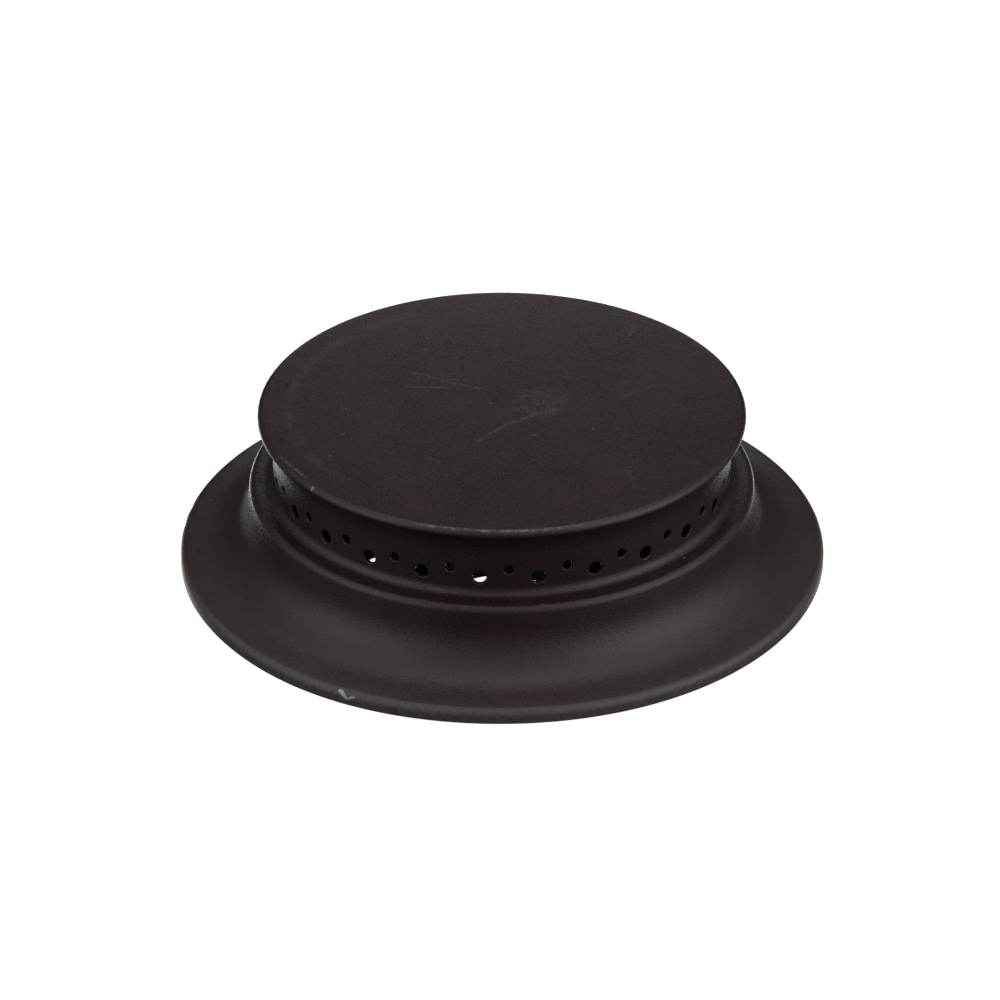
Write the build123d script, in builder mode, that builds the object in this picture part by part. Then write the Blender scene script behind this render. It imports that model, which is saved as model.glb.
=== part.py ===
from build123d import *
from math import cos, hypot, radians, sin
import os

# Enamelled steel gas burner, in millimetres. +Z is up, and the origin is on the axis, in the
# plane of the cooktop that the flange stands on. The head's sizes are of its outer surface.

# Burner head: one hat-shaped pressing. From the collar outwards and from the lip upwards, each
# size is the width or the rise of one stretch of the profile
head_sheet = 0.7
collar_radius = 44.85
shelf_width = 4.57
wall_spread = 1.34
flange_width = 12.74
flare_width = 2.1
lip_height = 2.67
flange_rise = 1.79
wall_rise = 12.43
collar_rise = 11.63
flare_rise = 3.0
lip_bend = 1.6
cove_bend = 10.0
shoulder_bend = 1.5
collar_foot_bend = 1.9
flare_bend = 7.0

# Gas ports: large and small ones by turns, all the way round the collar, above the shelf
port_count = 25
port_turn = 5.3
large_port_radius = 1.35
large_port_rise = 3.86
small_port_radius = 0.93
small_port_rise = 5.63

# Top cap: a flat disc, bent down at its edge and rolled under the tip of the flare
cap_sheet = 0.5
cap_edge_inside_bend = 1.5
cap_edge_turn = 50.0
hem_inside_bend = 0.15
hem_drop = 0.1
crimp_gap = 0.06

# Mixing pan: the chamber's floor, pushed up inside the head's wall, with a drawn throat
pan_sheet = 0.7
pan_seat_gap = 0.05
pan_rim_drop = 2.1
pan_floor_height = 0.0
pan_corner_bend = 3.0
throat_radius = 12.3
throat_mouth_bend = 8.0
throat_depth = 13.3

# Screw holes in the pan's floor, astride the throat
screw_count = 2
screw_circle_radius = 24.75
screw_hole_radius = 1.6
screw_turn = 7.8

# Burner head: the sheet's outer line from the lip to the tip of the flare, thickened inwards
shoulder_radius = collar_radius + shelf_width
wall_foot_radius = shoulder_radius + wall_spread
flange_radius = wall_foot_radius + flange_width
flare_tip_radius = collar_radius + flare_width
wall_foot_height = lip_height + flange_rise
shelf_height = wall_foot_height + wall_rise
flare_height = shelf_height + collar_rise
flare_tip_height = flare_height + flare_rise

with BuildPart() as burner_head:
    with BuildSketch(Plane.XZ):
        with BuildLine():
            FilletPolyline(
                (flange_radius, 0),
                (flange_radius, lip_height),
                (wall_foot_radius, wall_foot_height),
                (shoulder_radius, shelf_height),
                (collar_radius, shelf_height),
                (collar_radius, flare_height),
                (flare_tip_radius, flare_tip_height),
                radius=(lip_bend, cove_bend, shoulder_bend, collar_foot_bend, flare_bend),
            )
            offset(amount=head_sheet, side=Side.LEFT)
        make_face()
    revolve(axis=Axis.Z)
    port_step = 360 / port_count
    port_rows = (
        (large_port_radius, shelf_height + large_port_rise, port_turn),
        (small_port_radius, shelf_height + small_port_rise, port_turn + port_step / 2),
    )
    for port_radius, port_height, turn in port_rows:
        with Locations((0, 0, port_height)):
            with PolarLocations(collar_radius - head_sheet / 2, port_count, start_angle=turn):
                Cylinder(port_radius, 2 * head_sheet, rotation=(0, 90, 0), mode=Mode.SUBTRACT)
burner_head.part.label = "burner_head"

# Top cap: the hem is centred just outside the flare's tip, and its leg ends at the flare's slope
hem_bend = hem_inside_bend + cap_sheet
hem_centre_radius = flare_tip_radius + crimp_gap
hem_centre_height = flare_tip_height - hem_drop
flare_lean = flare_width / flare_rise
hem_leg_end = flare_tip_radius - flare_lean * (hem_drop + hem_inside_bend) + crimp_gap
cap_edge_bend = cap_edge_inside_bend + cap_sheet
bend_difference = cap_edge_inside_bend - hem_inside_bend
cap_flat_radius = hem_centre_radius - bend_difference * sin(radians(cap_edge_turn))
cap_top = hem_centre_height - bend_difference * cos(radians(cap_edge_turn)) + cap_edge_bend

with BuildPart() as top_cap:
    with BuildSketch(Plane.XZ):
        with BuildLine():
            flat = Line((0, cap_top), (cap_flat_radius, cap_top))
            edge = JernArc(flat @ 1, flat % 1, cap_edge_bend, -cap_edge_turn)
            hem = JernArc(edge @ 1, edge % 1, hem_bend, cap_edge_turn - 180)
            Line(hem @ 1, (hem_leg_end, hem_centre_height - hem_bend))
            offset(amount=cap_sheet, side=Side.RIGHT)
        make_face()
    revolve(axis=Axis.Z)
top_cap.part.label = "top_cap"

# Mixing pan: its upright rim meets the inside of the head's leaning wall just below the shelf
wall_lean = wall_spread / wall_rise
wall_inset = head_sheet * hypot(1, wall_lean)
pan_rim_height = shelf_height - pan_rim_drop
pan_radius = shoulder_radius + wall_lean * pan_rim_drop - wall_inset - pan_seat_gap

with BuildPart() as mixing_pan:
    with BuildSketch(Plane.XZ):
        with BuildLine():
            FilletPolyline(
                (pan_radius - pan_sheet, pan_rim_height),
                (pan_radius - pan_sheet, pan_floor_height),
                (throat_radius, pan_floor_height),
                (throat_radius, -throat_depth),
                radius=(pan_corner_bend, throat_mouth_bend),
            )
            offset(amount=pan_sheet, side=Side.LEFT)
        make_face()
    revolve(axis=Axis.Z)
    with BuildSketch(Plane.XY.offset(pan_floor_height)):
        with PolarLocations(screw_circle_radius, screw_count, start_angle=screw_turn):
            Circle(screw_hole_radius)
    extrude(amount=-pan_sheet, mode=Mode.SUBTRACT)
mixing_pan.part.label = "mixing_pan"

os.makedirs("parts", exist_ok=True)
for piece in (burner_head, top_cap, mixing_pan):
    export_step(piece.part, f"parts/{piece.part.label}.step")
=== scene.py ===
# %% [markdown]
# # A pressed steel gas burner in black enamel
# A burner like this sits over a hole in a cooktop. Gas and air come up a throat in the middle of a
# pan, spread out under a flat cap and leave through two rows of small ports. The real thing is
# three steel pressings under one thin coat of dark enamel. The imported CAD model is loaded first,
# because everything that is made here has to lie in the same place, in metres.

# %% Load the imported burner
from cmath import exp, phase
from math import acos, atan2, ceil, copysign, cos, degrees, hypot, pi, radians, sin, tan

import bmesh
import bpy
from mathutils import Matrix, Vector


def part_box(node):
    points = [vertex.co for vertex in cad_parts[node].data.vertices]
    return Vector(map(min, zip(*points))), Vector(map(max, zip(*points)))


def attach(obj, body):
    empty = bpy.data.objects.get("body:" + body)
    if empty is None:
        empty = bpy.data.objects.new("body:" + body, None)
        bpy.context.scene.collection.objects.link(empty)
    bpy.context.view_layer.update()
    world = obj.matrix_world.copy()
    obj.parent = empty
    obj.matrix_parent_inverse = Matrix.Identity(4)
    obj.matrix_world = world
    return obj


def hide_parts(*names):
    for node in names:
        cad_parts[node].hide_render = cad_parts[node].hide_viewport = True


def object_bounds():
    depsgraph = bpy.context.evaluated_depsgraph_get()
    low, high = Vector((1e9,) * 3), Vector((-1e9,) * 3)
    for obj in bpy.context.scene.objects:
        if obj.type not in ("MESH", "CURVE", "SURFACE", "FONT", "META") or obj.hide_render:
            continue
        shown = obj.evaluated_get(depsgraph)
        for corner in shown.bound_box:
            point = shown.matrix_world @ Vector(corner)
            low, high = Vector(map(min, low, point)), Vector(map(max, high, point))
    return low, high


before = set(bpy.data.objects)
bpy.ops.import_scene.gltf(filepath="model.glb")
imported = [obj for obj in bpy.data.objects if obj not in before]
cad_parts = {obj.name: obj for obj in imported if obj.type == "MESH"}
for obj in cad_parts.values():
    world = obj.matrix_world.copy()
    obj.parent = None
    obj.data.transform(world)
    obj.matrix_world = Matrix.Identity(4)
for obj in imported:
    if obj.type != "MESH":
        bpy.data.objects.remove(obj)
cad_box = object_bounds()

MM = 0.001


def in_mm(lengths):
    """Lengths in metres, as millimetres that are easy to read."""
    return [round(metres / MM, 2) for metres in lengths]


print("CAD box:", [in_mm(corner) for corner in cad_box], "mm")

# %% [markdown]
# ## The camera
# The camera comes first, because every later choice is judged through it. It stands in front of the
# burner, about 30 degrees above the cooktop, with a long lens: the far side of the flange looks
# hardly narrower than the near side, which tells that it stands more than a metre away. Camera,
# pieces and lamps all get into the scene in the same way, so one small helper does that.

# %% Place the camera
LENS_MM = 207.27
SENSOR_MM = 36.0
CAMERA_AT = Vector((-0.36, -975.4, 586.5)) * MM
CAMERA_AIM = Vector((-0.36, 0.0, 11.49)) * MM


def put_in_scene(name, data):
    """Makes an object out of a mesh, a lamp or a camera, and links it to the scene."""
    thing = bpy.data.objects.new(name, data)
    bpy.context.scene.collection.objects.link(thing)
    return thing


camera = put_in_scene("camera", bpy.data.cameras.new("camera"))
camera.data.lens = LENS_MM
camera.data.sensor_width = SENSOR_MM
camera.data.clip_start = 0.01
look = (CAMERA_AIM - CAMERA_AT).to_track_quat("-Z", "Y").to_matrix().to_4x4()
camera.matrix_world = Matrix.Translation(CAMERA_AT) @ look
bpy.context.scene.camera = camera
print("camera to burner:", round((CAMERA_AT - CAMERA_AIM).length / MM), "mm")

# %% [markdown]
# ## Bent sheet
# A pressing is a sheet of one thickness, so a single line with rounded corners says almost all about
# it. The line could be a curve object with a bevel, but then its points could not be shared with
# the port holes later. Here a point is a complex number, radius plus height times 1j, because
# turning it along a bend is then one multiplication. Each point keeps its heading, and the other
# face of the sheet lies one thickness to the side of that heading.

# %% A line with bent corners
LONGEST_STEP = 1.5
BEND_STEP = 7.0


def straight(start, end, heading):
    """Points from start to just before end, no further apart than LONGEST_STEP."""
    steps = max(1, ceil(abs(end - start) / LONGEST_STEP))
    return [(start + (end - start) * step / steps, heading) for step in range(steps)]


def bent_line(corners, bends):
    """Points and headings along a line of (radius, height) corners, each inner corner bent."""
    corners = [complex(*corner) for corner in corners]
    here = corners[0]
    line = []
    for before, corner, after, bend in zip(corners, corners[1:], corners[2:], bends):
        into = (corner - before) / abs(corner - before)
        out = (after - corner) / abs(after - corner)
        turn = phase(out / into)
        begin = corner - into * bend * tan(abs(turn) / 2)
        centre = begin + into * 1j * copysign(bend, turn)
        steps = max(3, ceil(abs(degrees(turn)) / BEND_STEP))
        line += straight(here, begin, into)
        for step in range(steps):
            swing = exp(1j * turn * step / steps)
            line.append((centre + (begin - centre) * swing, into * swing))
        here = corner + out * bend * tan(abs(turn) / 2)
    out = (corners[-1] - here) / abs(corners[-1] - here)
    return line + straight(here, corners[-1], out) + [(corners[-1], out)]


def both_faces(line, sheet):
    """The line's own points, and those on the sheet's other face (left for a positive sheet)."""
    return [point for point, _ in line], [point + heading * 1j * sheet for point, heading in line]


# %% [markdown]
# ## Gathering a pressing
# A round pressing is a stack of rings. A small class keeps the points and the faces of one piece: it
# adds a ring, and it joins two rings of the same length with a band of faces. The same join serves
# the big rings round the axis and the little rings round a port, so the ports can be true holes in
# the same skin with no boolean step, which would leave slivers that catch the light.

# %% The pressing class
SECTORS = 50
COLUMNS = 8
AROUND = SECTORS * COLUMNS
PORT_TURN = 5.3
FIRST_COLUMN = PORT_TURN - 180 / SECTORS


def column_angle(column):
    """The angle round the axis, in radians, of a column of points."""
    return radians(FIRST_COLUMN + 360 * column / AROUND)


class Pressing:
    """The points, in millimetres, and the faces of one pressed piece."""

    def __init__(self):
        self.points = []
        self.faces = []

    def ring(self, places):
        """Adds points given as (angle, radius, height) and returns their numbers."""
        first = len(self.points)
        self.points += [(r * cos(angle), r * sin(angle), z) for angle, r, z in places]
        return list(range(first, len(self.points)))

    def round_ring(self, point):
        """Adds a full ring round the axis at a radius and height."""
        return self.ring([(column_angle(c), point.real, point.imag) for c in range(AROUND)])

    def join(self, first, second):
        """A closed band of faces between two rings of the same length."""
        count = len(first)
        for i in range(count):
            j = (i + 1) % count
            self.faces.append((first[i], first[j], second[j], second[i]))

    def stack(self, points, closed=False):
        """Rings through all the points, each joined to the next."""
        rings = [self.round_ring(point) for point in points]
        for first, second in zip(rings, rings[1:]):
            self.join(first, second)
        if closed:
            self.join(rings[-1], rings[0])
        return rings

    def to_object(self, name, node):
        """Makes the object, lets it stand for its CAD node and rides it on the only body."""
        mesh = bpy.data.meshes.new(name)
        mesh.from_pydata([Vector(point) * MM for point in self.points], [], self.faces)
        tidy_mesh(mesh)
        piece = put_in_scene(name, mesh)
        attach(piece, "root")
        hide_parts(node)
        cad_size = [high - low for low, high in zip(*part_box(node))]
        print(name, "faces", len(mesh.polygons), "size", in_mm(piece.dimensions))
        print("size of its CAD node", in_mm(cad_size))
        return piece


print("points round the axis:", AROUND)

# %% [markdown]
# Sheet steel is smooth all over and sharp only where it was cut. Points that fall together, such as
# the whole first ring of a disc at its centre, are merged, the faces are turned outwards, and all
# are shaded smooth except at the cut edges of the sheet. A bevel modifier could soften those edges,
# but it would also round the small ports, which get rounded edges of their own.

# %% Tidy a mesh
SAME_PLACE = 1e-7
CUT_EDGE = radians(48)


def tidy_mesh(mesh):
    """Merges points that coincide, turns the faces outwards and sets the shading."""
    skin = bmesh.new()
    skin.from_mesh(mesh)
    bmesh.ops.remove_doubles(skin, verts=skin.verts, dist=SAME_PLACE)
    bmesh.ops.recalc_face_normals(skin, faces=skin.faces)
    skin.to_mesh(mesh)
    skin.free()
    mesh.shade_smooth()
    mesh.set_sharp_from_angle(angle=CUT_EDGE)


# %% [markdown]
# ## The burner head
# The head is one hat-shaped pressing: a turned-down lip, a wide flange, a steep wall, a narrow shelf
# and a collar that flares at its top. Its line is drawn in two runs, below and above the band of
# ports, so that both end in a full ring that the ports' own faces can grow from.

# %% Sizes of the head, in millimetres
HEAD_SHEET = 0.7
COLLAR_RADIUS = 44.85
SHELF_WIDTH = 4.57
WALL_SPREAD = 1.34
FLANGE_WIDTH = 12.74
FLARE_WIDTH = 2.1
LIP_HEIGHT = 2.67
FLANGE_RISE = 1.79
WALL_RISE = 12.43
COLLAR_RISE = 11.63
FLARE_RISE = 3.0
LIP_BEND = 1.6
COVE_BEND = 10.0
SHOULDER_BEND = 1.5
COLLAR_FOOT_BEND = 1.9
FLARE_BEND = 7.0

shoulder_radius = COLLAR_RADIUS + SHELF_WIDTH
wall_foot_radius = shoulder_radius + WALL_SPREAD
flange_radius = wall_foot_radius + FLANGE_WIDTH
flare_tip_radius = COLLAR_RADIUS + FLARE_WIDTH
wall_foot_height = LIP_HEIGHT + FLANGE_RISE
shelf_height = wall_foot_height + WALL_RISE
flare_height = shelf_height + COLLAR_RISE
flare_tip_height = flare_height + FLARE_RISE
print("flange", round(2 * flange_radius, 2), "mm across, shelf", round(shelf_height, 2), "mm up")

# %% [markdown]
# The sheet's outer line runs from the foot of the lip up to the band of ports, and from that band up
# to the tip of the flare. Both faces of the sheet become stacks of rings, joined at the two cut
# edges. A solidify modifier would give the second face too, but then the ports would need cutting.

# %% Skin of the head, still open at the band of ports
BAND_LOW = shelf_height + 2.0
BAND_HIGH = shelf_height + 7.5

below_ports = bent_line(
    [
        (flange_radius, 0),
        (flange_radius, LIP_HEIGHT),
        (wall_foot_radius, wall_foot_height),
        (shoulder_radius, shelf_height),
        (COLLAR_RADIUS, shelf_height),
        (COLLAR_RADIUS, BAND_LOW),
    ],
    [LIP_BEND, COVE_BEND, SHOULDER_BEND, COLLAR_FOOT_BEND],
)
above_ports = bent_line(
    [
        (COLLAR_RADIUS, BAND_HIGH),
        (COLLAR_RADIUS, flare_height),
        (flare_tip_radius, flare_tip_height),
    ],
    [FLARE_BEND],
)

head = Pressing()
low_outside, low_inside = (head.stack(face) for face in both_faces(below_ports, HEAD_SHEET))
high_outside, high_inside = (head.stack(face) for face in both_faces(above_ports, HEAD_SHEET))
head.join(low_outside[0], low_inside[0])
head.join(high_outside[-1], high_inside[-1])
print("head line:", len(below_ports), "points below the ports and", len(above_ports), "above")

# %% [markdown]
# ## The gas ports
# Large and small ports take turns round the collar, 25 of each, and the small ones sit a little
# higher. On the real collar they are punched. Here each port has a cell of its own in the band,
# and the cell's edge is shared with its neighbours, so that the skin has no gaps.

# %% The cells of the band
SIDE_STEPS = 6


def cell_sides(radius):
    """The inner points of every upright line between two cells, on one face of the sheet."""
    rise = (BAND_HIGH - BAND_LOW) / SIDE_STEPS
    heights = [BAND_LOW + rise * i for i in range(1, SIDE_STEPS)]
    return [
        head.ring([(column_angle(cell * COLUMNS), radius, height) for height in heights])
        for cell in range(SECTORS)
    ]


def cell_edge(cell, low_ring, high_ring, sides):
    """The points round one cell of the band, in order."""
    columns = [(cell * COLUMNS + i) % AROUND for i in range(COLUMNS + 1)]
    right, left = sides[(cell + 1) % SECTORS], sides[cell]
    low = [low_ring[c] for c in columns]
    high = [high_ring[c] for c in reversed(columns)]
    return low + right + high + left[::-1]


inside_radius = COLLAR_RADIUS - HEAD_SHEET
outside_sides = cell_sides(COLLAR_RADIUS)
inside_sides = cell_sides(inside_radius)
print("cells:", len(outside_sides), "each", round(BAND_HIGH - BAND_LOW, 2), "mm high")

# %% [markdown]
# From a cell's edge, rings close in on its hole. Each ring is a little rounder than the one before,
# because every point moves along its own spoke towards the rim of the hole.

# %% Close in on a hole
CLOSING_IN = (0.72, 0.46, 0.24, 0.09, 0.0)


def rings_to_hole(edge, centre_angle, height, hole_radius, radius):
    """Rings from a cell's edge to the rim of its hole, on the cylinder of one face."""
    offsets = []
    for number in edge:
        x, y, z = head.points[number]
        turn = (atan2(y, x) - centre_angle + pi) % (2 * pi) - pi
        offsets.append(complex(turn * COLLAR_RADIUS, z - height))
    last = edge
    for share in CLOSING_IN:
        places = []
        for offset in offsets:
            rim = offset / abs(offset) * hole_radius
            spot = rim + (offset - rim) * share
            angle = centre_angle + spot.real / COLLAR_RADIUS
            places.append((angle, radius, height + spot.imag))
        ring = head.ring(places)
        head.join(last, ring)
        last = ring
    return last, [offset / abs(offset) for offset in offsets]


# %% [markdown]
# At the rim the skin rolls over a softened edge, because enamel runs thin and round there, goes
# through the sheet, and meets the rings that closed in on the inside.

# %% Cut the ports
LARGE_PORT = (1.35, shelf_height + 3.86)
SMALL_PORT = (0.93, shelf_height + 5.63)
PORT_EDGE_BEND = 0.20
ROLL_OVER = (30, 60, 90)


def cut_port(cell, hole_radius, height):
    """One port: the outer skin, the rolled edge, the wall of the hole and the inner skin."""
    angle = radians(PORT_TURN + 360 * cell / SECTORS)
    edge = cell_edge(cell, low_outside[-1], high_outside[0], outside_sides)
    wide = hole_radius + PORT_EDGE_BEND
    last, spokes = rings_to_hole(edge, angle, height, wide, COLLAR_RADIUS)
    for tilt in ROLL_OVER:
        reach = hole_radius + PORT_EDGE_BEND * (1 - sin(radians(tilt)))
        depth = COLLAR_RADIUS - PORT_EDGE_BEND * (1 - cos(radians(tilt)))
        ring = head.ring([
            (angle + spoke.real * reach / COLLAR_RADIUS, depth, height + spoke.imag * reach)
            for spoke in spokes
        ])
        head.join(last, ring)
        last = ring
    back_edge = cell_edge(cell, low_inside[-1], high_inside[0], inside_sides)
    back, _ = rings_to_hole(back_edge, angle, height, hole_radius, inside_radius)
    head.join(last, back)


for cell in range(SECTORS):
    cut_port(cell, *(LARGE_PORT, SMALL_PORT)[cell % 2])
print("ports cut:", SECTORS)

# %% [markdown]
# ## A flange that was knocked
# The flange of the real head is no longer true: it sags a little at its front left, is pushed in at
# its left and has two small kinks in its edge there. Each is a smooth push round one angle, and all
# fade out before the wall, because the drawn part of a pressing stays stiff. The last push keeps
# the front of the flange within its true size. Sculpting by hand could do this too, but a push with
# four numbers can be read and changed.

# %% Put the flange out of true
STIFF_RADIUS = 53.0
STIFFNESS = 1.5
# Each push: angle and width in degrees, then outwards and upwards in millimetres
PUSHES = [
    (-127, 26, 0.18, -0.22),
    (-178, 9, -0.18, 0.0),
    (168, 1.8, -0.13, 0.0),
    (173.5, 1.6, -0.11, 0.0),
    (-90, 20, -0.03, 0.0),
]


def out_of_true(x, y, z):
    """A point of the head, moved by every push."""
    radius = hypot(x, y)
    share = max(0.0, (radius - STIFF_RADIUS) / (flange_radius - STIFF_RADIUS)) ** STIFFNESS
    for angle, width, outwards, upwards in PUSHES:
        turn = (degrees(atan2(y, x)) - angle + 180) % 360 - 180
        push = share * exp(-(turn / width) ** 2).real
        grow = 1 + push * outwards / radius
        x, y, z = x * grow, y * grow, z + push * upwards
    return x, y, z


head.points = [out_of_true(*point) for point in head.points]
print("lowest point of the lip:", round(min(z for _, _, z in head.points), 3), "mm")
burner_head = head.to_object("burner_head_enamelled", "burner_head")

# %% [markdown]
# ## The top cap
# The cap is a flat disc. Its edge bends down and rolls under the tip of the flare, which holds it on
# for good, so the edge shows as a thin bright line. Two bends that meet in one direction make that
# edge: a wider one from the flat, and a tight one for the rolled hem.

# %% The edge of the cap
CAP_SHEET = 0.5
CAP_RISE = 1.132
CAP_EDGE_BEND = 1.2
HEM_BEND = 0.65
HEM_DROP = 0.1
CRIMP_GAP = 0.06

edge_turn = acos((CAP_EDGE_BEND - CAP_RISE) / (CAP_EDGE_BEND - HEM_BEND))
hem_centre = complex(flare_tip_radius + CRIMP_GAP, flare_tip_height - HEM_DROP)
edge_centre = hem_centre - (CAP_EDGE_BEND - HEM_BEND) * 1j * exp(-1j * edge_turn)
cap_top = edge_centre.imag + CAP_EDGE_BEND
hem_inside_bend = HEM_BEND - CAP_SHEET
flare_lean = FLARE_WIDTH / FLARE_RISE
leg_end = flare_tip_radius - flare_lean * (HEM_DROP + hem_inside_bend) + CRIMP_GAP
print("cap top at", round(cap_top, 3), "mm, edge turns", round(degrees(edge_turn), 1), "degrees")

# %% [markdown]
# The flat is not quite flat: the real cap has a shallow dimple in its middle. Its rings lie closer
# together there, so that the dimple is a true hollow and not only a trick of the shading.

# %% Spin the cap
DIMPLE_DEPTH = 0.05
DIMPLE_RADIUS = 2.2
FLAT_RADII = [0, 0.6, 1.2, 1.8, 2.4, 3.2, 4.2, 6, 9, 13, 18, 24, 30, 35, 39, 42, 44.2, 45.4]
EDGE_STEPS = 12


def arc(centre, bend, start, end):
    """Points and headings along a bend that turns clockwise from one heading to another."""
    line = []
    for step in range(EDGE_STEPS + 1):
        heading = exp(-1j * (start + (end - start) * step / EDGE_STEPS))
        line.append((centre + heading * 1j * bend, heading))
    return line


def dimple(r):
    """How far the flat lies below the cap's top at some radius."""
    return DIMPLE_DEPTH * exp(-(r / DIMPLE_RADIUS) ** 2).real


cap_line = [(complex(r, cap_top - dimple(r)), 1 + 0j) for r in FLAT_RADII]
cap_line += arc(edge_centre, CAP_EDGE_BEND, 0, edge_turn)
cap_line += arc(hem_centre, HEM_BEND, edge_turn, pi)[1:]
cap_line.append((complex(leg_end, hem_centre.imag - HEM_BEND), -1 + 0j))

cap = Pressing()
cap_outside, cap_inside = both_faces(cap_line, -CAP_SHEET)
cap.stack(cap_outside + cap_inside[::-1])
top_cap = cap.to_object("top_cap_enamelled", "top_cap")

# %% [markdown]
# ## The mixing pan
# The pan closes the chamber from below. Its rim stands inside the head's wall, and a throat is drawn
# down from its middle. Through some of the ports one can look down the throat to the bright floor
# below, so the pan has to be there in full and not only as a dark disc.

# %% Spin the pan
PAN_SHEET = 0.7
PAN_SEAT_GAP = 0.05
PAN_RIM_DROP = 2.1
PAN_CORNER_BEND = 3.0
THROAT_RADIUS = 12.3
THROAT_MOUTH_BEND = 8.0
THROAT_DEPTH = 13.3

wall_lean = WALL_SPREAD / WALL_RISE
wall_inset = HEAD_SHEET * hypot(1, wall_lean)
pan_radius = shoulder_radius + wall_lean * PAN_RIM_DROP - wall_inset - PAN_SEAT_GAP
pan_inside = pan_radius - PAN_SHEET
pan_line = bent_line(
    [
        (pan_inside, shelf_height - PAN_RIM_DROP),
        (pan_inside, 0),
        (THROAT_RADIUS, 0),
        (THROAT_RADIUS, -THROAT_DEPTH),
    ],
    [PAN_CORNER_BEND, THROAT_MOUTH_BEND],
)

pan = Pressing()
pan_top, pan_under = both_faces(pan_line, PAN_SHEET)
pan.stack(pan_top + pan_under[::-1], closed=True)
mixing_pan = pan.to_object("mixing_pan_enamelled", "mixing_pan")

# %% [markdown]
# Two screws hold the burner down, one on each side of the throat. Their holes go through a flat part
# that is only seen from below, so here a boolean with two short rods is good enough. The result is
# kept as a plain mesh, and the rods are taken away again.

# %% Punch the screw holes
SCREW_CIRCLE = 24.75
SCREW_RADIUS = 1.6
SCREW_TURNS = (7.8, 187.8)
PUNCH_SIDES = 32

rods = bmesh.new()
for turn in SCREW_TURNS:
    spot = Vector((cos(radians(turn)), sin(radians(turn)), 0)) * SCREW_CIRCLE * MM
    bmesh.ops.create_cone(
        rods, cap_ends=True, segments=PUNCH_SIDES, depth=4 * PAN_SHEET * MM,
        radius1=SCREW_RADIUS * MM, radius2=SCREW_RADIUS * MM, matrix=Matrix.Translation(spot),
    )
punch = put_in_scene("screw_punch", bpy.data.meshes.new("screw_punch"))
rods.to_mesh(punch.data)
rods.free()

cut = mixing_pan.modifiers.new("screw_holes", "BOOLEAN")
cut.operation = "DIFFERENCE"
cut.solver = "EXACT"
cut.object = punch
bpy.context.view_layer.update()
cut_pan = mixing_pan.evaluated_get(bpy.context.evaluated_depsgraph_get())
punched = bpy.data.meshes.new_from_object(cut_pan)
mixing_pan.modifiers.clear()
mixing_pan.data = punched
punched.set_sharp_from_angle(angle=CUT_EDGE)
bpy.data.objects.remove(punch)
print("pan faces with screw holes:", len(punched.polygons))

# %% [markdown]
# ## Writing shader sums in Python
# A material is a graph of nodes, and a mask such as "worn, but only near the rim" is a sum of many
# of them. One small class wraps a socket, so that such sums read as sums. Every operator adds one
# Math node. One method makes any other node: its settings go in first, then the values or links of
# its sockets.

# %% The socket class
class Socket:
    """An output of a shader node, or with no output just the node tree to work in."""

    def __init__(self, tree, output=None):
        self.tree = tree
        self.output = output

    def make(self, kind, settings, inputs, out=0):
        """Adds a node and returns one of its outputs."""
        node = self.tree.nodes.new(kind)
        for name, value in settings.items():
            setattr(node, name, value)
        for name, value in inputs.items():
            if isinstance(value, Socket):
                self.tree.links.new(value.output, node.inputs[name])
            else:
                node.inputs[name].default_value = value
        return Socket(self.tree, node.outputs[out] if node.outputs else None)

    def maths(self, operation, first, second):
        return self.make("ShaderNodeMath", {"operation": operation}, {0: first, 1: second})

    def __add__(self, other):
        return self.maths("ADD", self, other)

    def __sub__(self, other):
        return self.maths("SUBTRACT", self, other)

    def __rsub__(self, other):
        return self.maths("SUBTRACT", other, self)

    def __mul__(self, other):
        return self.maths("MULTIPLY", self, other)

    def __or__(self, other):
        return self.maths("MAXIMUM", self, other)

    __radd__ = __add__
    __rmul__ = __mul__
    __ror__ = __or__

    def step(self, low, high):
        """0 below low and 1 above high, smooth between; with low above high it falls instead."""
        ends = (low, high, 0.0, 1.0) if low < high else (high, low, 1.0, 0.0)
        inputs = {0: self, **dict(enumerate(ends, 1))}
        return self.make("ShaderNodeMapRange", {"interpolation_type": "SMOOTHSTEP"}, inputs)


# %% [markdown]
# Vectors and colours have helpers of their own, because a Math node would turn them into one number.
# Places are measured on the object in millimetres, so that a size in a material means what it says.

# %% Helpers for vectors, colours and noise
def fresh_tree(owner):
    """An empty node tree to work in, for a material or for the world."""
    owner.use_nodes = True
    owner.node_tree.nodes.clear()
    return Socket(owner.node_tree)


def places_in(bench):
    """The place on the object, in millimetres."""
    spot = bench.make("ShaderNodeTexCoord", {}, {}, "Object")
    return vector("MULTIPLY", spot, (1 / MM, 1 / MM, 1 / MM))


def vector(operation, first, second, out=0):
    return first.make("ShaderNodeVectorMath", {"operation": operation}, {0: first, 1: second}, out)


def length(place):
    return place.make("ShaderNodeVectorMath", {"operation": "LENGTH"}, {0: place}, "Value")


def towards(place, way):
    """How far a place lies in one direction."""
    return vector("DOT_PRODUCT", place, way, "Value")


def mix(share, colour, other):
    """The colour, turning into the other one where share is 1."""
    colours = [part if isinstance(part, Socket) else (*part, 1.0) for part in (colour, other)]
    inputs = {0: share, 6: colours[0], 7: colours[1]}
    return share.make("ShaderNodeMix", {"data_type": "RGBA"}, inputs, 2)


def noise(at, per_mm, detail=2.0, roughness=0.5):
    inputs = {"Vector": at, "Scale": per_mm, "Detail": detail, "Roughness": roughness}
    return at.make("ShaderNodeTexNoise", {}, inputs)


# %% [markdown]
# ## Wear
# The enamel has been handled: it has small chips that show the steel, fine scuffs on the cap, and
# light specks. A scuff is the nearness to a short line, broken up by noise; a chip is the nearness
# to a point, with a ragged edge. A painted picture could hold them too, but these are measured on
# the object itself, so they stay sharp and stay put in every view.

# %% Marks on the enamel
RAGGEDNESS = 1.6


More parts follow.
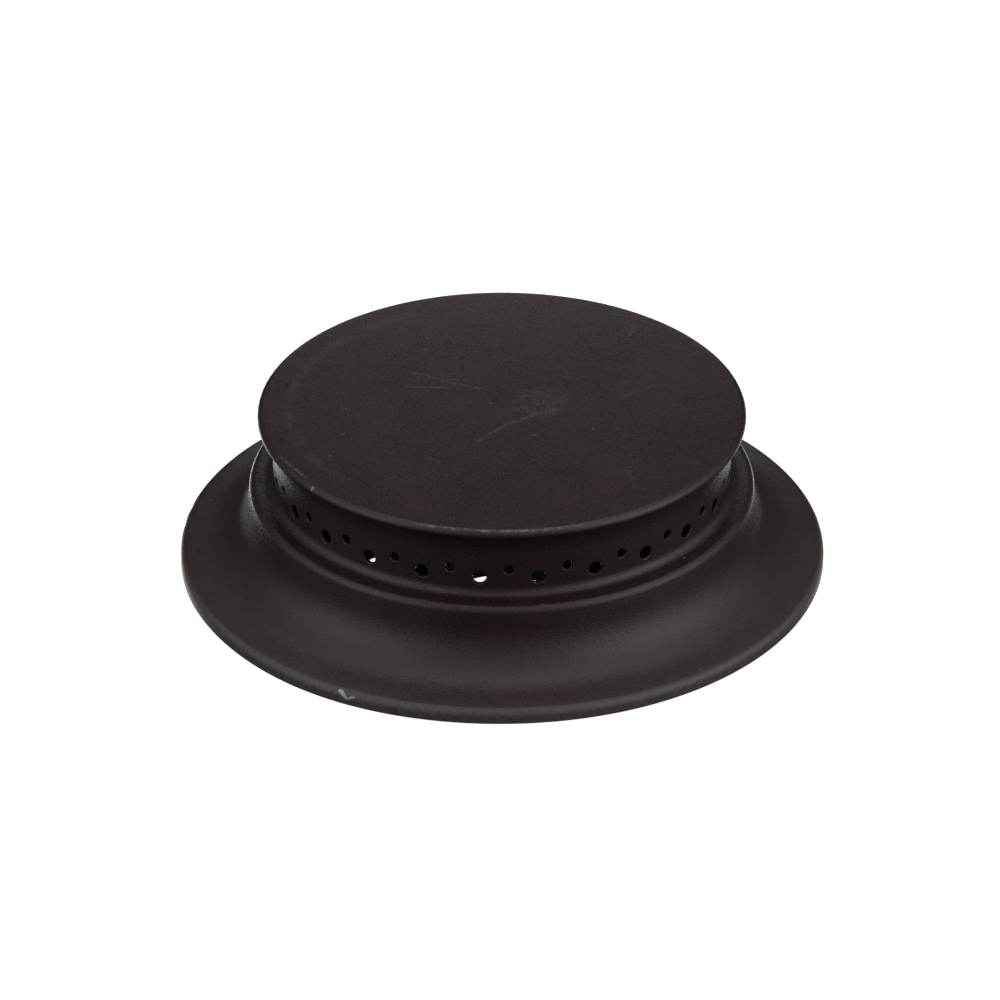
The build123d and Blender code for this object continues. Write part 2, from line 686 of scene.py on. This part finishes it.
def streak(at, start, end, half_width):
    """1 on a short straight line between two places, fading to 0 at its half width."""
    run = Vector(end) - Vector(start)
    away = vector("SUBTRACT", at, start)
    along = towards(away, run / run.length_squared)
    along = along.make("ShaderNodeClamp", {}, {0: along, 1: 0.0, 2: 1.0})
    foot = along.make("ShaderNodeVectorMath", {"operation": "SCALE"}, {0: run, "Scale": along})
    return length(vector("SUBTRACT", away, foot)).step(half_width, 0.0)


def blot(at, centre, radius, ragged=None):
    """1 inside a round patch, with an edge that the ragged noise pushes in and out."""
    away = length(vector("SUBTRACT", at, centre))
    if ragged is not None:
        away = away + (ragged - 0.5) * radius * RAGGEDNESS
    return away.step(radius, 0.75 * radius)


def all_of(masks):
    """The strongest of several masks at each place."""
    total = masks[0]
    for mask in masks[1:]:
        total = total | mask
    return total


def broken_up(at):
    """Noise that breaks a scuff into short dashes."""
    return noise(at, 1.3, 3.0, 0.7).step(0.42, 0.62)


def from_axis(at):
    """How far a place is from the burner's axis."""
    return length(vector("MULTIPLY", at, (1, 1, 0)))


# %% [markdown]
# Besides these, fine light specks lie scattered all over. A Voronoi pattern gives every cell a seed
# point and a colour of its own. The colour picks a small share of the cells and says how bright the
# dot round the seed is.

# %% Scattered specks
SPECKS_PER_MM = 0.55
SPECK_SHARE = 0.10
SPECK_RADIUS = 0.16 * SPECKS_PER_MM


def dust(at):
    """A dot round the seed in a few cells of a Voronoi pattern."""
    cell = at.make("ShaderNodeTexVoronoi", {}, {"Vector": at, "Scale": SPECKS_PER_MM})
    tint = Socket(at.tree, cell.output.node.outputs["Color"])
    pick = tint.make("ShaderNodeSeparateColor", {}, {0: tint}, 0)
    dim = Socket(at.tree, pick.output.node.outputs[1])
    picked = pick.step(1 - SPECK_SHARE, 1 - 0.9 * SPECK_SHARE)
    return cell.step(SPECK_RADIUS, 0.3 * SPECK_RADIUS) * picked * dim


# %% [markdown]
# ## The enamel itself
# The enamel is a warm, nearly black glass with a dull, slightly grainy skin. Its colour is never
# quite even, and it is grainiest where light glances off it. One noise could not show that, so a
# wide one mottles it, a middle one makes it wavy like the peel of a fruit, and a fine one is the
# grain. All three pieces share this recipe, and each adds its own marks.

# %% The enamel recipe
BARE_STEEL = (0.36, 0.355, 0.35)
# The tone of rubbed places, and also of the painted highlights and reflections below
RUBBED_AND_LIT = (0.19, 0.175, 0.17)
MOTTLE_PER_MM = 0.07
PEEL_PER_MM = 0.6
GRAIN_PER_MM = 3.0
PEEL_RELIEF = 0.03
CHIP_DEPTH = 0.06
DULLNESS = 0.29
MOTTLE_DULLNESS = 0.10
GRAIN_DULLNESS = 0.25


def enamel(piece, name, dark, light, shine, relief, dulling=0.0, chips=None, rubs_and_light=None):
    """Gives a piece a dull black enamel. Two functions turn a place into masks: one for chips, one
    for rubs and painted light.
    """
    material = bpy.data.materials.new(name)
    at = places_in(fresh_tree(material))
    mottle = noise(at, MOTTLE_PER_MM, 4.0, 0.6)
    peel = noise(at, PEEL_PER_MM, 1.0)
    grain = noise(at, GRAIN_PER_MM, 2.0, 0.6)
    # Specks, rubs and painted light in one mask that lightens the colour
    rubbed_and_lit = dust(at) * 0.8
    if rubs_and_light:
        rubbed_and_lit = rubbed_and_lit | rubs_and_light(at)
    colour = mix((mottle * 0.4 + grain * 0.6).step(0.36, 0.64), dark, light)
    colour = mix(rubbed_and_lit, colour, RUBBED_AND_LIT)
    height = grain * relief + peel * PEEL_RELIEF
    roughness = DULLNESS + (mottle - 0.5) * MOTTLE_DULLNESS + (grain - 0.5) * GRAIN_DULLNESS
    roughness = roughness + rubbed_and_lit * dulling
    if chips:
        chipped = chips(at)
        colour = mix(chipped, colour, BARE_STEEL)
        height = height - chipped * CHIP_DEPTH
    bump = {"Strength": 1.0, "Distance": MM, "Height": height}
    skin = at.make("ShaderNodeBsdfPrincipled", {}, {
        "Base Color": colour,
        "Roughness": roughness,
        "Normal": height.make("ShaderNodeBump", {}, bump),
        "Specular IOR Level": shine,
    })
    at.make("ShaderNodeOutputMaterial", {}, {"Surface": skin})
    piece.data.materials.clear()
    piece.data.materials.append(material)
    print(name, "nodes", len(material.node_tree.nodes))


# %% [markdown]
# ## Marks on the cap
# The cap takes most of the handling: fine streaks left of the middle, a longer diagonal scuff with a
# patch of painted highlight above it, a chip on the rim, rubbed flecks that also paint the highlight
# of the front edge, and a faint lighter band inside its left. Each has a place of its own, because
# noise alone would look like dirt.

# %% Where the cap is marked
# Each scuff: from, to, half its width in millimetres, and its strength
CAP_SCUFFS = [
    ((-17.5, 13.6), (-14.3, 12.3), 0.60, 0.280),
    ((-18.7, 7.9), (-10.5, 7.6), 0.56, 0.320),
    ((-14.3, 11.7), (-6.8, 10.4), 0.56, 0.280),
    ((-11.8, 10.4), (-4.3, 7.2), 0.64, 0.320),
    ((-4.5, -13.3), (0.7, -7.1), 0.60, 0.320),
    ((0.7, -7.1), (6.9, -2.8), 0.80, 0.400),
    ((6.9, -2.8), (11.0, -0.8), 1.10, 0.400),
    ((-14.8, -19.5), (-12.1, -21.4), 0.50, 0.200),
    ((23.8, -23.3), (25.6, -31.6), 0.80, 0.080),
    ((22.6, 3.5), (28.9, 7.9), 0.80, 0.096),
    ((25.4, 28.6), (26.5, 32.7), 0.50, 0.240),
    ((-42.6, -19.4), (-40.1, -23.3), 0.50, 0.560),
    ((-40.1, -23.3), (-37.5, -27.0), 0.50, 0.480),
]
CAP_SPECKS = [
    (-2.2, 1.5), (6.3, -11.0), (17.7, -8.5), (28.7, 7.5), (24.5, -23.3), (-30.3, -0.8),
    (-30.6, -10.6), (-14.8, 27.7), (-15.3, 22.8), (-9.0, 19.6), (-32.9, -19.1),
]
CAP_SPECK_RADIUS = 0.24
# A patch of painted highlight: the lighter fan right of the middle of the cap's top
HIGHLIGHT_PATCH_AT = (7.5, 1.7)
HIGHLIGHT_PATCH_RADIUS = 6.5
CAP_CHIP_AT = (-36.0, -30.6, 32.05)
CAP_CHIP_RADIUS = 0.5
print("scuffs on the cap:", len(CAP_SCUFFS), "specks:", len(CAP_SPECKS))

# %% [markdown]
# The flecks, which also paint the front edge's highlight, and the lighter band inside the left edge
# follow the round of the edge, so each is a band between two distances from the axis, limited to
# one side and broken up by noise.

# %% Enamel of the cap
FRONT = (0, -1, 0)
LEFT = (-0.97, 0.24, 0)
# Each pair: where a mask is still 0, and where it has come up to 1
# Rubbed flecks on the front of the edge, which also paint a broken highlight along it
FLECK_AND_HIGHLIGHT_BAND = ((46.7, 46.95), (47.4, 47.15))
FLECK_AND_HIGHLIGHT_FRONT = (43.5, 45.5)
FLECK_AND_HIGHLIGHT_NOISE = (0.44, 0.60)
# A faint lighter band inside the left edge of the cap
LEFT_BAND = ((39.5, 41.3), (43.4, 41.8))
LEFT_BAND_SIDE = (18.0, 36.0)
LEFT_BAND_NOISE = (0.35, 0.6)
SPECK_STRENGTH = 0.6
HIGHLIGHT_PATCH_STRENGTH = 0.13
FLECK_AND_HIGHLIGHT_STRENGTH = 0.5
LEFT_BAND_STRENGTH = 0.09


def ring_band(out, inner, outer):
    """1 between two distances from the axis."""
    return out.step(*inner) * out.step(*outer)


def cap_rubs_and_light(at):
    """Everything rubbed on the cap, with its painted highlights and lighter band, as one mask."""
    broken = broken_up(at)
    scuffs = all_of([
        streak(at, (*start, cap_top), (*end, cap_top), half_width) * strength
        for start, end, half_width, strength in CAP_SCUFFS
    ])
    scuffs = scuffs * (0.1 + 0.9 * broken)
    # Painted highlight: a lighter patch right of the middle, broken up like the scuffs
    painted_highlight_patch = blot(at, (*HIGHLIGHT_PATCH_AT, cap_top), HIGHLIGHT_PATCH_RADIUS) * HIGHLIGHT_PATCH_STRENGTH * broken
    dots = all_of([blot(at, (*spot, cap_top), CAP_SPECK_RADIUS) for spot in CAP_SPECKS])
    out = from_axis(at)
    # Rubbed flecks and a painted highlight along the front of the edge
    rim = ring_band(out, *FLECK_AND_HIGHLIGHT_BAND) * towards(at, FRONT).step(*FLECK_AND_HIGHLIGHT_FRONT)
    flecks_and_highlight = rim * noise(at, 1.1, 3.0, 0.7).step(*FLECK_AND_HIGHLIGHT_NOISE)
    # A faint lighter band inside the left edge
    inside_rim = ring_band(out, *LEFT_BAND) * towards(at, LEFT).step(*LEFT_BAND_SIDE)
    lighter_left_band = inside_rim * noise(at, 0.35, 3.0, 0.6).step(*LEFT_BAND_NOISE)
    rim_marks_and_light = flecks_and_highlight * FLECK_AND_HIGHLIGHT_STRENGTH | lighter_left_band * LEFT_BAND_STRENGTH
    return scuffs | painted_highlight_patch | dots * SPECK_STRENGTH | rim_marks_and_light


def cap_chips(at):
    """A half worn chip on the cap's rim."""
    return blot(at, CAP_CHIP_AT, CAP_CHIP_RADIUS, noise(at, 1.6, 2.0)) * 0.5


enamel(
    top_cap, "cap_enamel", dark=(0.0155, 0.0080, 0.0076), light=(0.0245, 0.0132, 0.0126),
    shine=0.5, relief=0.065, chips=cap_chips, rubs_and_light=cap_rubs_and_light,
)

# %% [markdown]
# ## Marks on the head
# The head has a larger chip at the front left of its lip, in two lobes, as from a knock. A few
# scratches and specks lie on the shelf and flange. The lip is rubbed all round and painted lighter
# as a reflection of the white floor, and painted light makes the outer flange a little lighter. A
# rubbed place does not shine, so here every lightened place is also rougher.

# %% Where the head is marked
HEAD_SPECKS = [
    (-51.9, -23.4, 3.2), (-58.1, 14.0, 3.1), (-39.8, -35.4, 5.0), (37.7, -48.9, 2.8),
    (21.1, -51.4, 3.9), (54.4, -14.1, 3.5), (35.0, -31.0, 16.9),
]
HEAD_SPECK_RADIUS = 0.3
# Each scratch: from, to, half its width in millimetres, and its strength
HEAD_SCRATCHES = [
    ((7.4, -47.6, 16.88), (8.6, -48.6, 16.7), 0.35, 0.7),
    ((-13.75, -43.2, 17.6), (-11.4, -43.85, 17.5), 0.30, 0.5),
    ((53.8, 13.6, 3.5), (61.2, 15.2, 3.0), 0.60, 0.25),
]
# Each lobe of the chip: from, to, and half its width
HEAD_CHIP = [
    ((-30.6, -55.4, 2.3), (-29.3, -56.3, 1.2), 0.75),
    ((-28.9, -56.5, 1.4), (-27.9, -56.8, 1.7), 0.55),
]
print("scratches on the head:", len(HEAD_SCRATCHES), "specks:", len(HEAD_SPECKS))

# %% [markdown]
# Rubs and chips are two masks and not one. A rub only lightens the enamel, but a chip goes through
# to the steel, so it is lighter still and lies a little lower. The lip's rubs and painted reflection
# and the flange's painted light follow the round of the flange, as the flecks follow the cap's edge.

# %% Enamel of the head
# Each pair: where a mask is still 0, and where it has come up to 1
LIP_BAND = (62.2, 63.2)
LIP_NOISE = (0.34, 0.66)
LIP_STRENGTH = 0.36
# Where the painted light of the flange comes up
FLANGE_LIGHT_BAND = (51.0, 58.0)
CHIP_RAGGEDNESS = 0.9
CHIP_EDGE = (0.35, 0.5)


def head_rubs_and_light(at):
    """Everything rubbed on the head, with the lip's painted reflection and the flange's painted
    light, as one mask.
    """
    dots = all_of([blot(at, spot, HEAD_SPECK_RADIUS) for spot in HEAD_SPECKS])
    scratches = all_of([
        streak(at, start, end, half_width) * strength
        for start, end, half_width, strength in HEAD_SCRATCHES
    ])
    out = from_axis(at)
    # The lip is rubbed, and painted lighter as a reflection of the white floor in front of it
    worn_and_lit = 0.55 + 0.45 * noise(at, 1.2, 4.0, 0.7).step(*LIP_NOISE)
    lip = out.step(*LIP_BAND) * worn_and_lit
    # Painted light: the outer flange is made a little lighter all round
    painted_flange_light = out.step(*FLANGE_LIGHT_BAND) * (0.02 + 0.07 * noise(at, 0.25, 4.0, 0.65))
    return dots * SPECK_STRENGTH | scratches * broken_up(at) | lip * LIP_STRENGTH | painted_flange_light


def head_chips(at):
    """The chip on the lip, with a ragged edge."""
    ragged = noise(at, 1.6, 2.0)
    lobes = all_of([streak(at, *lobe) for lobe in HEAD_CHIP])
    return (lobes + (ragged - 0.5) * CHIP_RAGGEDNESS).step(*CHIP_EDGE)


enamel(
    burner_head, "head_enamel", dark=(0.0150, 0.0076, 0.0072), light=(0.0240, 0.0128, 0.0122),
    shine=0.5, relief=0.09, dulling=0.5, chips=head_chips, rubs_and_light=head_rubs_and_light,
)

# %% [markdown]
# The pan is seen only through the ports and from below. It gets the same recipe with no marks, but
# less shiny, and its colours are painted darker as shade, because through the ports the chamber
# looks almost black.

# %% Enamel of the pan
# Painted shade: darker colours than the head's enamel
enamel(
    mixing_pan, "pan_enamel", dark=(0.008, 0.006, 0.006), light=(0.012, 0.009, 0.009),
    shine=0.2, relief=0.09,
)

# %% [markdown]
# ## The floor
# The burner stands on a plain white sheet. The sheet is left out of what the enamel mirrors and of
# the light that falls on it, so that the room alone decides how dark the enamel looks: dark enamel
# shows mostly what it mirrors.

# %% Lay the sheet
FLOOR_HALF = 3.0
floor_height = cad_box[0].z
corners = [(-1, -1), (1, -1), (1, 1), (-1, 1)]

floor = put_in_scene("floor", bpy.data.meshes.new("floor"))
floor.data.from_pydata(
    [(x * FLOOR_HALF, y * FLOOR_HALF, floor_height) for x, y in corners], [], [(0, 1, 2, 3)]
)
floor.visible_glossy = False
floor.visible_diffuse = False

floor_paint = bpy.data.materials.new("floor_paint")
bench = fresh_tree(floor_paint)
sheet = bench.make("ShaderNodeBsdfPrincipled", {}, {
    "Base Color": (0.5, 0.5, 0.5, 1),
    "Roughness": 0.9,
    "Emission Color": (1, 1, 1, 1),
    "Emission Strength": 1.0,
})
bench.make("ShaderNodeOutputMaterial", {}, {"Surface": sheet})
floor.data.materials.append(floor_paint)
print("floor at", round(floor_height / MM, 2), "mm")

# %% [markdown]
# ## The light
# The studio is a dark room with three soft lamps: one on each side in front, the right one brighter,
# and one overhead. Lamps this soft have no edge that the enamel could show, so they are painted on
# the room itself: each is brightest in one direction and fades away from it. The table behind the
# burner is bright, most of all on the left, which turns the two ends of the collar grey.

# %% The room and its lamps
ROOM_DIM = 0.03
TABLE_GLOW = 3.1
TABLE_LEAN = 0.6
TABLE_BACK = (0.58, 0.95)
TABLE_TOP = (-0.18, -0.42)
TABLE_FOOT = (-0.75, -0.6)
LAMP_TONE = (1.0, 0.975, 0.945)
TABLE_TONE = (0.93, 0.97, 1.0)
# Each lamp: its direction, how far it spreads in degrees, and its radiance
LAMPS = [
    ((0.80, -0.30, 0.53), 25, 1.75),
    ((-0.78, -0.33, 0.53), 25, 1.25),
    ((0.0, 0.26, 0.966), 16, 1.45),
]

room = bpy.data.worlds.new("room")
bench = fresh_tree(room)
direction = bench.make("ShaderNodeTexCoord", {}, {}, "Generated")
side, back, rise = (
    bench.make("ShaderNodeSeparateXYZ", {}, {0: direction}, axis) for axis in ("X", "Y", "Z")
)
table = back.step(*TABLE_BACK) * rise.step(*TABLE_TOP) * rise.step(*TABLE_FOOT)
bright = table * (1 - TABLE_LEAN * side) * TABLE_GLOW + ROOM_DIM
for way, spread, radiance in LAMPS:
    fade = (towards(direction, Vector(way).normalized()) - 1) * (1 / radians(spread) ** 2)
    lamp = fade.make("ShaderNodeMath", {"operation": "EXPONENT"}, {0: fade})
    bright = bright + lamp * radiance
tone = mix(table, LAMP_TONE, TABLE_TONE)
glow = bench.make("ShaderNodeBackground", {}, {"Color": tone, "Strength": bright})
bench.make("ShaderNodeOutputWorld", {}, {"Surface": glow})
bpy.context.scene.world = room
print("lamps on the room:", len(LAMPS))

# %% [markdown]
# Close behind the burner stands a small white card, as photographers put one there. It lightens the
# far half of the cap a little. It has an edge and stands near, so it is a real area lamp and not
# painted on the room. The Standard view transform keeps white paper white.

# %% The card behind
CARD_WIDTH = 0.12
CARD_HEIGHT = 0.08
CARD_RADIANCE = 0.65
CARD_AT = Vector((0.0, 0.13, floor_height + 0.04))
CARD_FACES = Vector((0.0, -1.0, 0.0))

card = put_in_scene("back_card", bpy.data.lights.new("back_card", "AREA"))
card.data.shape = "RECTANGLE"
card.data.size = CARD_WIDTH
card.data.size_y = CARD_HEIGHT
card.data.energy = pi * CARD_WIDTH * CARD_HEIGHT * CARD_RADIANCE
card.location = CARD_AT
card.rotation_euler = CARD_FACES.to_track_quat("-Z", "Y").to_euler()
card.visible_camera = False
bpy.context.scene.view_settings.view_transform = "Standard"
print("card watts:", round(card.data.energy, 3))
